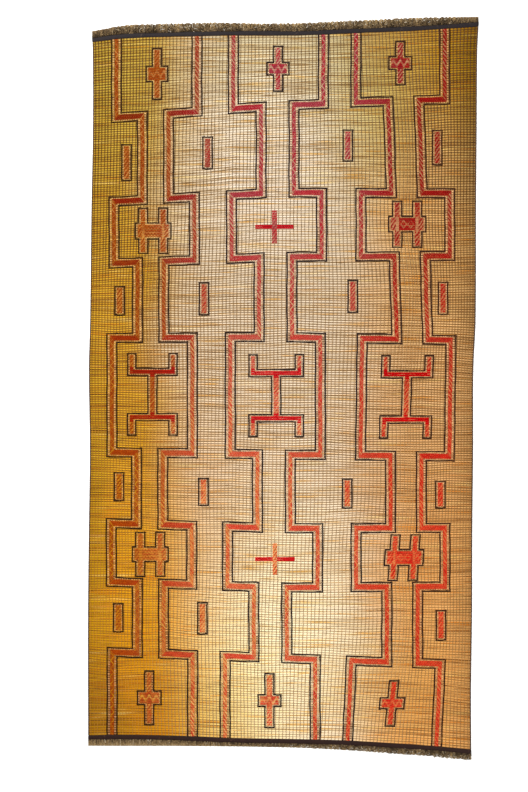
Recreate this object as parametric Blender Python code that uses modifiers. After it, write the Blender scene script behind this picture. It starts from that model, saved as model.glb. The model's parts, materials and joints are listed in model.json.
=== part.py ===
"""A reed floor mat with laced leather ornament, lying flat with its face up.

Thin reeds lie across the mat and leather thongs hold them side by side. A dark leather band binds
each end, a narrow leather binding runs down each long edge, and short leather fringe stands outside
the bands. Leather lacing on the face makes three columns. Each column is a pair of mirrored stepped
bands with crosses, barred figures and small tablets in and between them.

The file works in metres: +X is across the mat, +Y along it and +Z out of its face. The underside is
at Z = 0, and the origin lies below the middle of the mat's box. Sizes and tables are in millimetres.
"""

import random

import bmesh
import bpy
from mathutils import Vector
from mathutils.geometry import delaunay_2d_cdt

MM = 0.001
GAP = 0.3  # left between neighbouring pieces

# The mat as a whole
HALF_BOX_WIDTH = 941.0
HALF_BOX_LENGTH = 1789.0
REED_BED = 3.6  # thickness of the reeds and thongs
SIDE_STEPS = 22
END_STEPS = 24

# Leather round the edge
BAND_WIDTH = 20.5
BAND_THICKNESS = 5.2
BINDING_WIDTH = 7.0
BINDING_THICKNESS = 4.8
LEATHER_ROUNDING = 1.2

# Fringe
LOCKS = 104
BACKING_WIDTH = 8.0
BACKING_THICKNESS = 4.0
LOCK_ROOT = 11.0
LOCK_MIDDLE = 9.0
LOCK_TIP = 4.5
LOCK_SWAY = 4.0
LOCK_MIDDLE_HEIGHT = (3.4, 5.4)
LOCK_TIP_HEIGHT = (1.6, 3.0)
LOCK_REACH = (0.74, 1.12)  # as a share of the fringe's depth there

# Lacing on the face
LACE_HEIGHT = 1.2
LACE_SLOPE = 1.5  # how far in the raised top starts
LACE_END_GAP = 4.0
LINE_WIDTH = 6.0
CORE_RUN_HALF = 9.5
CORE_BAR_HALF = 12.0
LINE_RUN_OFFSET = 24.0
LINE_BAR_OFFSET = 21.5
FIGURE_RUN_GAP = 11.0
FIGURE_BAR_GAP = 7.5

# The long edges, from the top end to the bottom end
SIDES = (
    # y, left edge x, right edge x
    (1730, -919, 939.5),
    (1620, -912, 934),
    (1240, -911, 931),
    (850, -918, 928),
    (330, -924, 926),
    (85, -930, 915),
    (-300, -925, 914),
    (-680, -930, 910),
    (-1070, -934, 909),
    (-1450, -934, 904),
    (-1745, -933, 905),
)

# The ends, from left to right
TOP_END = (
    # x, y of the weave's end, depth of the fringe
    (-919, 1657, 38),
    (-760, 1677, 38),
    (-590, 1683, 38),
    (-396, 1688, 38),
    (-204, 1691, 41),
    (84, 1691, 46),
    (324, 1701, 47),
    (640, 1714, 49),
    (756, 1721, 44),
    (941, 1734, 30),
)
BOTTOM_END = (
    # x, y of the weave's end, depth of the fringe
    (-941, -1668, 34),
    (-766, -1665, 38),
    (-516, -1670, 33),
    (-214, -1682, 23),
    (-12, -1685, 24),
    (136, -1688, 26),
    (323, -1694, 31),
    (573, -1709, 35),
    (727, -1719, 36),
    (823, -1728, 38),
    (912, -1737, 34),
)

# The three columns of stepped bands, with half widths to the middle of each band
COLUMNS = (
    # middle x, wide half, narrow half
    (-625, 193, 63),
    (-35, 216, 79),
    (580, 213, 74),
)

# Nine sections from top to bottom, wide and narrow by turns
SECTION_CENTRES = (
    # x of the left, middle and right column, then how far the right one leans
    (-604, -20, 565, 0),
    (-610, -24, 588, 16),
    (-616, -29, 589, 0),
    (-633, -34, 616, 12),
    (-626, -35, 591, -8),
    (-638, -42, 592, 0),
    (-629, -48, 566, 0),
    (-634, -59, 574, 0),
    (-625, -60, 534, -18),
)

# The eight levels where the bands step in or out
STEP_LEVELS = (
    # y at the left, middle and right column
    (1309, 1354, 1377),
    (904, 936, 934),
    (605, 628, 631),
    (240, 244, 233),
    (-312, -320, -327),
    (-656, -674, -673),
    (-938, -959, -955),
    (-1275, -1296, -1319),
)

# Figures inside the wide sections, measured over their outlines
CROSS, BARRED, BRACKET, PLUS = "cross", "barred", "bracket", "plus"
FIGURES = (
    # kind, x, y, half width, half height, half height of the block, lean
    (CROSS, -603, 1506, 55, 125, 40, 0),
    (CROSS, -22, 1531, 56, 111, 33, 0),
    (CROSS, 565, 1558, 58, 107, 34, 0),
    (BARRED, -621, 753, 88, 112, 41, 0),
    (PLUS, -39, 772, 92, 80, 7, 0),
    (BARRED, 598, 785, 92, 114, 40, 0),
    (BRACKET, -625, -32, 122, 199, 88, 0),
    (BRACKET, -31, -38, 134, 200, 88, 0),
    (BRACKET, 594, -44, 127, 201, 88, 0.03),
    (BARRED, -635, -799, 89, 109, 38, 0),
    (PLUS, -37, -822, 95, 76, 7, 0),
    (BARRED, 583, -815, 95, 113, 41, 0.07),
    (CROSS, -640, -1488, 60, 131, 36, 0),
    (CROSS, -63, -1501, 58, 132, 31, 0),
    (CROSS, 525, -1514, 62, 112, 30, 0.1),
)
ARM_HALF = 25.0  # half width of an arm, over its outline
ARM_SPREAD = 48.0  # from a barred figure's middle to the middle of its arms
BRACKET_BAR = 41.0  # height of a bracket's bar, over its outline
BRACKET_PRONG = 46.0

# Tablets between the bands, four rows from top to bottom
TABLET_HALF_WIDTH = 26.0
TABLETS = (
    # x, y, half height
    (-749, 1081, 89),
    (-360, 1127, 79),
    (313, 1163, 77),
    (742, 1153, 86),
    (-782, 418, 71),
    (-377, 427, 80),
    (337, 439, 80),
    (770, 430, 80),
    (-785, -474, 70),
    (-380, -499, 68),
    (310, -507, 72),
    (757, -512, 67),
    (-789, -1103, 70),
    (-385, -1106, 78),
    (760, -1139, 74),
)

REED_COLOUR = (0.55, 0.36, 0.13)
DARK_LEATHER = (0.035, 0.026, 0.032)
EDGE_LEATHER = (0.06, 0.035, 0.028)
FRINGE_LEATHER = (0.11, 0.065, 0.035)


def value_at(rows, at, column):
    """A table's column at a place between its rows, on a smooth curve through them."""
    rows = sorted(rows)
    places = [row[0] for row in rows]
    values = [row[column] for row in rows]
    last = len(rows) - 1
    slopes = []
    for i in range(len(rows)):
        before, after = max(i - 1, 0), min(i + 1, last)
        slopes.append((values[after] - values[before]) / (places[after] - places[before]))
    if at <= places[0]:
        return values[0] + slopes[0] * (at - places[0])
    if at >= places[last]:
        return values[last] + slopes[last] * (at - places[last])
    i = max(k for k in range(last) if places[k] <= at)
    span = places[i + 1] - places[i]
    t = (at - places[i]) / span
    return (
        (2 * t**3 - 3 * t**2 + 1) * values[i]
        + (t**3 - 2 * t**2 + t) * span * slopes[i]
        + (3 * t**2 - 2 * t**3) * values[i + 1]
        + (t**3 - t**2) * span * slopes[i + 1]
    )


def side_x(side, y, inset):
    """Where a long edge lies at a height on the mat. side is -1 at the left and 1 at the right."""
    return value_at(SIDES, y, 1 if side < 0 else 2) - side * inset


def end_y(end, x, inset):
    """Where the weave ends. end is 1 at the top and -1 at the bottom; a negative inset is outside."""
    return value_at(TOP_END if end > 0 else BOTTOM_END, x, 1) - end * inset


def corner(side, end, side_inset, end_inset):
    """Where a line along a long edge meets a line along an end."""
    y = end * HALF_BOX_LENGTH
    for _ in range(4):
        x = side_x(side, y, side_inset)
        y = end_y(end, x, end_inset)
    return x, y


def end_rail(end, side_inset, end_inset):
    """Points along an end, from left to right."""
    left = corner(-1, end, side_inset, end_inset)[0]
    right = corner(1, end, side_inset, end_inset)[0]
    places = [left + (right - left) * i / END_STEPS for i in range(END_STEPS + 1)]
    return [(x, end_y(end, x, end_inset)) for x in places]


def side_rail(side, side_inset, end_inset):
    """Points along a long edge, from bottom to top."""
    bottom = corner(side, -1, side_inset, end_inset)[1]
    top = corner(side, 1, side_inset, end_inset)[1]
    places = [bottom + (top - bottom) * i / SIDE_STEPS for i in range(SIDE_STEPS + 1)]
    return [(side_x(side, y, side_inset), y) for y in places]


def crossing(point, along, other_point, other_along):
    """Where two lines cross."""
    area = along[0] * other_along[1] - along[1] * other_along[0]
    between = (other_point[0] - point[0], other_point[1] - point[1])
    share = (between[0] * other_along[1] - between[1] * other_along[0]) / area
    return point[0] + along[0] * share, point[1] + along[1] * share


def parallel(points, run_offset, bar_offset, closed=False):
    """The line beside a stepped one, on its left. Runs go along the mat and bars across it."""
    count = len(points)
    lines = []
    for i in range(count if closed else count - 1):
        start, stop = Vector(points[i]), Vector(points[(i + 1) % count])
        along = (stop - start).normalized()
        offset = bar_offset if abs(along.x) > abs(along.y) else run_offset
        shift = Vector((-along.y, along.x)) * offset
        lines.append((start + shift, along, stop + shift))
    beside = [
        crossing(lines[i - 1][0], lines[i - 1][1], lines[i][0], lines[i][1])
        for i in range(0 if closed else 1, len(lines))
    ]
    return beside if closed else [tuple(lines[0][0]), *beside, tuple(lines[-1][2])]


def shortened(points, by):
    """A line with a little taken off each end."""
    ends = []
    for tip, inner in ((points[0], points[1]), (points[-1], points[-2])):
        back = (Vector(inner) - Vector(tip)).normalized() * by
        ends.append(tuple(Vector(tip) + back))
    return [ends[0], *points[1:-1], ends[1]]


def step_level(step, x):
    """The height of a step, read on straight lines through its three columns."""
    left, middle, right = (column[0] for column in COLUMNS)
    at_left, at_middle, at_right = STEP_LEVELS[step]
    if x < middle:
        return at_left + (at_middle - at_left) * (x - left) / (middle - left)
    return at_middle + (at_right - at_middle) * (x - middle) / (right - middle)


def band_path(column, side):
    """The middle line of a stepped band, from the top end to the bottom end."""
    halves = COLUMNS[column][1:]
    path = []
    last = len(SECTION_CENTRES) - 1
    for section, row in enumerate(SECTION_CENTRES):
        middle = row[column] + side * halves[section % 2]
        lean = row[3] / 2 if column == 2 else 0
        if section == 0:
            path.append((middle - lean, end_y(1, middle, LACE_END_GAP)))
        else:
            path.append((middle - lean, step_level(section - 1, middle)))
        if section == last:
            path.append((middle + lean, end_y(-1, middle, LACE_END_GAP)))
        else:
            path.append((middle + lean, step_level(section, middle)))
    return path


def raised_strip(path, run_low, run_high, bar_low, bar_high):
    """The foot and the top of a raised strip beside a path, between two offsets from it."""
    foot = parallel(path, run_high, bar_high)
    foot += reversed(parallel(path, run_low, bar_low))
    inner = shortened(path, LACE_SLOPE)
    top = parallel(inner, run_high - LACE_SLOPE, bar_high - LACE_SLOPE)
    top += reversed(parallel(inner, run_low + LACE_SLOPE, bar_low + LACE_SLOPE))
    return [(foot, REED_BED), (top, REED_BED + LACE_HEIGHT)]


def stepped_band(column, side):
    """One stepped band: a wide core with a thin line on each side."""
    path = band_path(column, side)
    half = LINE_WIDTH / 2
    loops = raised_strip(path, -CORE_RUN_HALF, CORE_RUN_HALF, -CORE_BAR_HALF, CORE_BAR_HALF)
    for way in (-1, 1):
        run, bar = way * LINE_RUN_OFFSET, way * LINE_BAR_OFFSET
        loops += raised_strip(path, run - half, run + half, bar - half, bar + half)
    return loops


def four_way(quarter, x, y, lean):
    """A figure from its upper right quarter, mirrored both ways and leaned."""
    turned = quarter[::-1]
    points = list(quarter)
    points += [(-px, py) for px, py in turned]
    points += [(-px, -py) for px, py in quarter]
    points += [(px, -py) for px, py in turned]
    return [(x + px + lean * py, y + py) for px, py in points]


def figure_quarter(kind, width, height, block):
    """The upper right quarter of a figure's core, from the outer sizes of its outline."""
    run_in = FIGURE_RUN_GAP + LINE_WIDTH / 2
    bar_in = FIGURE_BAR_GAP + LINE_WIDTH / 2
    arm = ARM_HALF - run_in
    if kind == CROSS:
        return [(width - run_in, block - bar_in), (arm, block - bar_in), (arm, height - bar_in)]
    if kind == BARRED:
        outer, inner = ARM_SPREAD + arm, ARM_SPREAD - arm
        return [
            (width - run_in, block - bar_in),
            (outer, block - bar_in),
            (outer, height - bar_in),
            (inner, height - bar_in),
            (inner, block - bar_in),
        ]
    if kind == BRACKET:
        bar_low, bar_high = block + bar_in, block + BRACKET_BAR - bar_in
        prong_in, prong_out = width - BRACKET_PRONG + run_in, width - run_in
        return [
            (arm, bar_low),
            (prong_out, bar_low),
            (prong_out, height - bar_in),
            (prong_in, height - bar_in),
            (prong_in, bar_high),
        ]
    return [(width, block), (block, block), (block, height)]


def raised_core(points):
    """The foot and the top of a raised area."""
    top = parallel(points, LACE_SLOPE, LACE_SLOPE, closed=True)
    return [(points, REED_BED), (top, REED_BED + LACE_HEIGHT)]


def raised_line(points):
    """The feet and the tops of the closed line round a core."""
    loops = []
    half = LINE_WIDTH / 2
    for out, height in (
        (half, REED_BED),
        (half - LACE_SLOPE, REED_BED + LACE_HEIGHT),
        (LACE_SLOPE - half, REED_BED + LACE_HEIGHT),
        (-half, REED_BED),
    ):
        run, bar = -FIGURE_RUN_GAP - out, -FIGURE_BAR_GAP - out
        loops.append((parallel(points, run, bar, closed=True), height))
    return loops


def lacing():
    """Every closed line of the raised lacing, each with its height."""
    loops = []
    for column in range(len(COLUMNS)):
        for side in (-1, 1):
            loops += stepped_band(column, side)
    for kind, x, y, width, height, block, lean in FIGURES:
        core = four_way(figure_quarter(kind, width, height, block), x, y, lean)
        loops += raised_core(core)
        if kind != PLUS:
            loops += raised_line(core)
    for x, y, height in TABLETS:
        quarter = [
            (
                TABLET_HALF_WIDTH - FIGURE_RUN_GAP - LINE_WIDTH / 2,
                height - FIGURE_BAR_GAP - LINE_WIDTH / 2,
            )
        ]
        core = four_way(quarter, x, y, 0)
        loops += raised_core(core)
        loops += raised_line(core)
    return loops


def triangles_inside(points, edges):
    """Triangles that fill an outline and keep every edge, as three indices each."""
    places = [Vector(point[:2]) for point in points]
    found, _, faces, sources, _, _ = delaunay_2d_cdt(places, edges, [], 1, 1e-4)
    if len(found) != len(points):
        raise ValueError("lines of the outline or of the lacing cross or touch")
    return [[sources[index][0] for index in face] for face in faces]


def slab(outline, heights, loops=()):
    """A mesh with a flat underside, and a top that goes through every outline and loop point."""
    points = [(x, y, z) for (x, y), z in zip(outline, heights)]
    rim = len(points)
    edges = [(i, (i + 1) % rim) for i in range(rim)]
    floor = triangles_inside(points, edges)
    for loop, z in loops:
        first = len(points)
        points += [(x, y, z) for x, y in loop]
        edges += [(first + i, first + (i + 1) % len(loop)) for i in range(len(loop))]
    roof = triangles_inside(points, edges) if loops else floor

    shape = bmesh.new()
    upper = [shape.verts.new(Vector(point) * MM) for point in points]
    lower = [shape.verts.new((x * MM, y * MM, 0)) for x, y in outline]
    for face in roof:
        shape.faces.new([upper[i] for i in face])
    for face in floor:
        shape.faces.new([lower[i] for i in reversed(face)])
    for i in range(rim):
        after = (i + 1) % rim
        shape.faces.new([lower[i], lower[after], upper[after], upper[i]])
    bmesh.ops.recalc_face_normals(shape, faces=shape.faces)
    return mesh_from(shape)


def mesh_from(shape):
    mesh = bpy.data.meshes.new("shape")
    shape.to_mesh(mesh)
    shape.free()
    return mesh


def leather_strip(rail, other_rail):
    """A flat strip of quads between two rails, facing up."""
    shape = bmesh.new()
    pairs = [
        [shape.verts.new((x * MM, y * MM, 0)) for x, y in places]
        for places in zip(rail, other_rail)
    ]
    for (low, high), (next_low, next_high) in zip(pairs, pairs[1:]):
        shape.faces.new([low, next_low, next_high, high])
    bmesh.ops.recalc_face_normals(shape, faces=shape.faces)
    if next(iter(shape.faces)).normal.z < 0:
        bmesh.ops.reverse_faces(shape, faces=shape.faces)
    return mesh_from(shape)


def thicken(piece, thickness):
    """Leather of a given thickness with softened edges, standing on the floor."""
    solidify = piece.modifiers.new("thickness", "SOLIDIFY")
    solidify.thickness = thickness * MM
    solidify.offset = 1
    bevel = piece.modifiers.new("rounded edges", "BEVEL")
    bevel.width = LEATHER_ROUNDING * MM
    bevel.segments = 1
    bevel.limit_method = "ANGLE"


def lock_tips(end, left, pitch, chance):
    """How far each lock reaches along the mat. The one that reaches furthest ends on the mat's box."""
    reaches = []
    for lock in range(LOCKS):
        x = left + (lock + 0.5) * pitch
        depth = value_at(TOP_END if end > 0 else BOTTOM_END, x, 2) * chance.uniform(*LOCK_REACH)
        reaches.append(min(end * end_y(end, x, -BAND_WIDTH) + depth, HALF_BOX_LENGTH))
    reaches[reaches.index(max(reaches))] = HALF_BOX_LENGTH
    return [end * reach for reach in reaches]


def fringe_outline(end, seed):
    """The outline of a backing with its locks, and how high the top is at each of its points."""
    chance = random.Random(seed)
    outer_side = -BAND_WIDTH - GAP
    rail = end_rail(end, 0, outer_side)
    if end > 0:
        rail[-1] = (HALF_BOX_WIDTH, end_y(end, HALF_BOX_WIDTH, outer_side))
    else:
        rail[0] = (-HALF_BOX_WIDTH, end_y(end, -HALF_BOX_WIDTH, outer_side))
    outline = list(rail)
    heights = [BACKING_THICKNESS] * len(rail)
    left, right = rail[0][0], rail[-1][0]
    pitch = (right - left) / LOCKS
    tips = lock_tips(end, left, pitch, chance)
    for lock in reversed(range(LOCKS)):
        x = left + (lock + 0.5) * pitch
        root_y = end_y(end, x, outer_side - BACKING_WIDTH)
        sway = chance.uniform(-LOCK_SWAY, LOCK_SWAY)
        curl = chance.uniform(-LOCK_SWAY, LOCK_SWAY) / 2
        most = HALF_BOX_WIDTH - LOCK_TIP / 2
        tip_x = max(-most, min(most, x + sway))
        middle_y = (root_y + tips[lock]) / 2
        middle_height = chance.uniform(*LOCK_MIDDLE_HEIGHT)
        tip_height = chance.uniform(*LOCK_TIP_HEIGHT)
        outline += [
            (x + LOCK_ROOT / 2, root_y),
            (x + curl + LOCK_MIDDLE / 2, middle_y),
            (tip_x + LOCK_TIP / 2, tips[lock]),
            (tip_x - LOCK_TIP / 2, tips[lock]),
            (x + curl - LOCK_MIDDLE / 2, middle_y),
            (x - LOCK_ROOT / 2, root_y),
        ]
        heights += [BACKING_THICKNESS, middle_height, tip_height]
        heights += [tip_height, middle_height, BACKING_THICKNESS]
    return outline, heights


def leather(name, colour, roughness):
    material = bpy.data.materials.new(name)
    material.use_nodes = True
    shader = material.node_tree.nodes["Principled BSDF"]
    shader.inputs["Base Color"].default_value = (*colour, 1)
    shader.inputs["Roughness"].default_value = roughness
    shader.inputs["Metallic"].default_value = 0
    material.diffuse_color = (*colour, 1)
    return material


def add_piece(name, mesh, material, collection, mat):
    mesh.name = name
    mesh.materials.append(material)
    piece = bpy.data.objects.new(name, mesh)
    collection.objects.link(piece)
    piece.parent = mat
    return piece


def add_reed_field(collection, mat):
    """The woven reeds, with the lacing raised on their face."""
    inset = BINDING_WIDTH + GAP
    left = side_rail(-1, inset, GAP)
    right = side_rail(1, inset, GAP)
    bottom = end_rail(-1, inset, GAP)
    top = end_rail(1, inset, GAP)
    outline = bottom + right[1:-1] + top[::-1] + left[-2:0:-1]
    mesh = slab(outline, [REED_BED] * len(outline), lacing())
    add_piece("reed_field", mesh, leather("reed", REED_COLOUR, 0.6), collection, mat)


def add_end_band(name, end, collection, mat):
    mesh = leather_strip(end_rail(end, 0, 0), end_rail(end, 0, -BAND_WIDTH))
    material = leather(name + "_leather", DARK_LEATHER, 0.55)
    thicken(add_piece(name, mesh, material, collection, mat), BAND_THICKNESS)


def add_side_binding(name, side, collection, mat):
    mesh = leather_strip(side_rail(side, 0, GAP), side_rail(side, BINDING_WIDTH, GAP))
    material = leather(name + "_leather", EDGE_LEATHER, 0.6)
    thicken(add_piece(name, mesh, material, collection, mat), BINDING_THICKNESS)


def add_fringe(name, end, seed, collection, mat):
    mesh = slab(*fringe_outline(end, seed))
    add_piece(name, mesh, leather(name + "_leather", FRINGE_LEATHER, 0.75), collection, mat)


def main():
    for old in list(bpy.data.objects):
        bpy.data.objects.remove(old, do_unlink=True)
    collection = bpy.data.collections.new("tuareg_mat")
    bpy.context.scene.collection.children.link(collection)
    mat = bpy.data.objects.new("mat", None)
    collection.objects.link(mat)

    add_reed_field(collection, mat)
    add_end_band("end_band_top", 1, collection, mat)
    add_end_band("end_band_bottom", -1, collection, mat)
    add_side_binding("side_binding_left", -1, collection, mat)
    add_side_binding("side_binding_right", 1, collection, mat)
    add_fringe("fringe_top", 1, 3, collection, mat)
    add_fringe("fringe_bottom", -1, 8, collection, mat)


main()
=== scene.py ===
"""Looks of a reed floor mat with laced leather ornament, seen from straight above.

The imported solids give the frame. On them this script weaves the mat as it is made: round reeds in
bundles, thongs that stitch over every bundle, red and black laces worked along the ornament, a
creased leather band across each end, wrapped bindings down the long edges, and frayed fringe.

Sizes and tables are in millimetres, in the frame's own axes: +X across, +Y along and +Z up.
"""

import json
import math

import bpy
import numpy as np
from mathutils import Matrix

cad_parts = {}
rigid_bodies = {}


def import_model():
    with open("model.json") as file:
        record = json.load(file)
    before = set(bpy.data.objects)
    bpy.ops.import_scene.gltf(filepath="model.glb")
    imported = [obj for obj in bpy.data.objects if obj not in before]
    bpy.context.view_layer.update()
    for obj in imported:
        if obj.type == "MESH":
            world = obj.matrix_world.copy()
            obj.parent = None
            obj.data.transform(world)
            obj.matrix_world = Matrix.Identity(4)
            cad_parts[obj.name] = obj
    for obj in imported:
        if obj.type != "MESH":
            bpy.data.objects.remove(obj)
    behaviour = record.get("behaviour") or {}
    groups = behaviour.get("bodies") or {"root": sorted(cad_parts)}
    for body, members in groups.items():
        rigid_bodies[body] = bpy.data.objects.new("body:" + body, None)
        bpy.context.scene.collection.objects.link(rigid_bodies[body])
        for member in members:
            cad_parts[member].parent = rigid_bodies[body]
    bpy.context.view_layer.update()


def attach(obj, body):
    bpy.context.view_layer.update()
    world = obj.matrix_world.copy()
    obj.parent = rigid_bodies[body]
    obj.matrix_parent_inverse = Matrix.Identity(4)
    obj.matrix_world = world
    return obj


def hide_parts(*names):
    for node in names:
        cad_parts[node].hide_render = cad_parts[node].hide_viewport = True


for leftover in list(bpy.data.objects):
    bpy.data.objects.remove(leftover)
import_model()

MM = 0.001
GAP = 0.3

# The whole mat, its end bands and its side bindings
HALF_BOX_WIDTH = 941.0
HALF_BOX_LENGTH = 1789.0
BAND_WIDTH = 20.5
BAND_THICKNESS = 5.2
BAND_STEPS = 220
BAND_SIDES = 14
BINDING_WIDTH = 7.0
BINDING_MIDDLE = 2.5  # height of its middle over the floor
BINDING_RADII = (3.9, 2.45)  # across and up
BINDING_SIDES = 8
WRAP_LENGTH = 9.0

# Reeds and thongs
BUNDLES = 297
REEDS_IN_BUNDLE = 3
REED_SPREAD = 0.268  # between the reeds of a bundle, as a share of the bundle's room
REED_RADIUS = 1.56
REED_MIDDLE = 2.4  # height of the reeds' middle over the floor
REED_STEPS = 13
REED_SIDES = 5
REED_OVERHANG = 0.002  # past the weave at each end, as a share of its width
BED_BOTTOM = 1.1
BED_TOP = 2.0
BED_COLUMNS = 24
BED_ROWS = 44
BED_OVERHANG = (0.0012, 0.001)  # across and along
THONG_COUNTS = (20, 34, 34, 22)  # between left edge, three columns and right edge
THONG_WIDTH = 3.5
THONG_TOP = 4.75
THONG_PIECES = 3
THONG_SLANT = 0.14  # how far a stitch leans to the right for its length
STITCH_LOW = 3.7
STITCH_END = 2.7
STITCH_OVERLAP = 1.16
UNDER_STEPS = 37
UNDER_HEIGHTS = (0.62, 0.5)  # of a thong's middle on the underside, by turns along it
UNDER_RADII = (1.2, 0.42)  # across and up
UNDER_SIDES = 3
UNDER_INSET = 0.002  # from the weave's ends, as a share of its length

# Lacing
LACE_TOP = 5.05
MARGIN_TOP = 4.15
CORE_LANES = 6
LINE_WIDTH = 6.0
LINE_LACE = 7.6
LINE_OVERLAP = 1.5
LINE_FILL = 0.95  # width of a lace in a line, as a share of its lane
CORE_FILL = 1.2  # and in a core
LINE_TURN = 0.6  # how far a line runs on past its corners, as a share of its half width
CORE_RUN_HALF = 9.0
CORE_BAR_HALF = 12.0
LINE_RUN_OFFSET = 24.0
LINE_BAR_OFFSET = 21.5
FIGURE_RUN_GAP = 11.0
FIGURE_BAR_GAP = 7.5
STITCH_LENGTH = 11.4
FIGURE_LACE = 3.5

# Fringe
LOCKS = 86
STRANDS = 1700
STRAND_STEPS = 5
STRAND_SIDES = 3
STRAND_SLACK = 3.0  # how far strands may pass the ends of the box
FRINGE_TUCK = 2.0  # how far the fringe's roots lie under the end band
FELT_STEPS = 7
FELT_REACH = 0.97  # as a share of the fringe's
FELT_BOTTOM = 0.35
FELT_EDGE = 0.9  # height of the felt's outer edge
WISPS = 0.1  # share of the strands that are fine and pale and stand past the rest
CALM_CORNER = 170.0  # how far from a corner the fringe is short and plain
TOP_SHADES = (0.24, 0.36, 0.38, 0.38, 0.3)
BOTTOM_SHADES = (0.46, 0.46, 0.38, 0.36, 0.36, 0.32)
BACKING_WIDTH = 8.0
BACKING_MIDDLE = 1.6  # height of its middle over the floor
BACKING_RADII = (4.2, 1.4)  # across and up
BACKING_STEPS = 80
BACKING_SIDES = 6

# The long edges, from the top end to the bottom end
SIDES = (
    # y, left edge x, right edge x
    (1730, -919, 939.5),
    (1620, -912, 934),
    (1240, -911, 931),
    (850, -918, 928),
    (330, -924, 926),
    (85, -930, 915),
    (-300, -925, 914),
    (-680, -930, 910),
    (-1070, -934, 909),
    (-1450, -934, 904),
    (-1745, -933, 905),
)

# The ends, from left to right
TOP_END = (
    # x, y of the weave's end, depth of the fringe
    (-919, 1657, 38),
    (-760, 1677, 38),
    (-590, 1683, 38),
    (-396, 1688, 38),
    (-204, 1691, 41),
    (84, 1691, 46),
    (324, 1701, 47),
    (640, 1714, 49),
    (756, 1721, 44),
    (941, 1734, 30),
)
BOTTOM_END = (
    # x, y of the weave's end, depth of the fringe
    (-941, -1668, 34),
    (-766, -1665, 38),
    (-516, -1670, 33),
    (-214, -1682, 23),
    (-12, -1685, 24),
    (136, -1688, 26),
    (323, -1694, 31),
    (573, -1709, 35),
    (727, -1719, 36),
    (823, -1728, 38),
    (912, -1737, 34),
)

# The three columns of stepped bands, with half widths to the middle of each band
COLUMNS = (
    # middle x, wide half, narrow half
    (-625, 193, 63),
    (-35, 216, 79),
    (580, 213, 74),
)
COLUMN_SPACING = 600.0  # about

# Nine sections from top to bottom, wide and narrow by turns
SECTION_CENTRES = (
    # x of the left, middle and right column, then how far the right one leans
    (-604, -20, 565, 0),
    (-610, -24, 588, 16),
    (-616, -29, 589, 0),
    (-633, -34, 616, 12),
    (-626, -35, 591, -8),
    (-638, -42, 592, 0),
    (-629, -48, 566, 0),
    (-634, -59, 574, 0),
    (-625, -60, 534, -18),
)

# The eight levels where the bands step in or out
STEP_LEVELS = (
    # y at the left, middle and right column
    (1309, 1354, 1377),
    (904, 936, 934),
    (605, 628, 631),
    (240, 244, 233),
    (-312, -320, -327),
    (-656, -674, -673),
    (-938, -959, -955),
    (-1275, -1296, -1319),
)

# Figures inside the wide sections, measured over their outlines
CROSS, BARRED, BRACKET, PLUS = "cross", "barred", "bracket", "plus"
FIGURES = (
    # kind, x, y, half width, half height, half height of the block, lean
    (CROSS, -603, 1506, 55, 125, 40, 0),
    (CROSS, -22, 1531, 56, 111, 33, 0),
    (CROSS, 565, 1558, 58, 107, 34, 0),
    (BARRED, -621, 753, 88, 112, 41, 0),
    (PLUS, -39, 772, 92, 80, 7, 0),
    (BARRED, 598, 785, 92, 114, 40, 0),
    (BRACKET, -625, -32, 122, 199, 88, 0),
    (BRACKET, -31, -38, 134, 200, 88, 0),
    (BRACKET, 594, -44, 127, 201, 88, 0.03),
    (BARRED, -635, -799, 89, 109, 38, 0),
    (PLUS, -37, -822, 95, 76, 7, 0),
    (BARRED, 583, -815, 95, 113, 41, 0.07),
    (CROSS, -640, -1488, 60, 131, 36, 0),
    (CROSS, -63, -1501, 58, 132, 31, 0),
    (CROSS, 525, -1514, 62, 112, 30, 0.1),
)
ARM_HALF = 25.0
ARM_SPREAD = 48.0
PLUS_ARM = 11.0
PLUS_BAR = 10.0
BRACKET_BAR = 41.0
BRACKET_PRONG = 46.0
PALE_INNER = 7.0  # how far pale lacing reaches inward from the middle of a barred figure's arm
PALE_OUTER = 5.0  # and outward

# Tablets between the bands, four rows from top to bottom
TABLET_HALF_WIDTH = 26.0
TABLETS = (
    # x, y, half height
    (-749, 1081, 89),
    (-360, 1127, 79),
    (313, 1163, 77),
    (742, 1153, 86),
    (-782, 418, 71),
    (-377, 427, 80),
    (337, 439, 80),
    (770, 430, 80),
    (-785, -474, 70),
    (-380, -499, 68),
    (310, -507, 72),
    (757, -512, 67),
    (-789, -1103, 70),
    (-385, -1106, 78),
    (760, -1139, 74),
)

# Lacing patterns, read by the red laces' material
PLAIN, ZIGZAG, DIAGONAL, CHEVRONS, DIAMONDS, WAVES, PALE, BOLD = range(8)
BAND_PATTERNS = (ZIGZAG, DIAGONAL, DIAGONAL, ZIGZAG, ZIGZAG, DIAGONAL)

# Camera and stage
VIEW_HEIGHT = 3801.6  # how much of the mat's plane the picture takes in, from top to bottom
VIEW_MIDDLE = (-89.3, -39.4)
LENS = 100.0
SENSOR = 36.0
FLOOR_SIZE = 40.0  # metres, as the lights below
FLOOR_DROP = 0.0005
SKY = 0.68
LIGHTS = (
    # name, place, size, power
    ("key", (-3.5, 4.5, 6.0), 2.5, 900),
    ("fill", (4.5, -3.5, 6.5), 4.0, 260),
)

SEED = 12  # of the random draws


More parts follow.
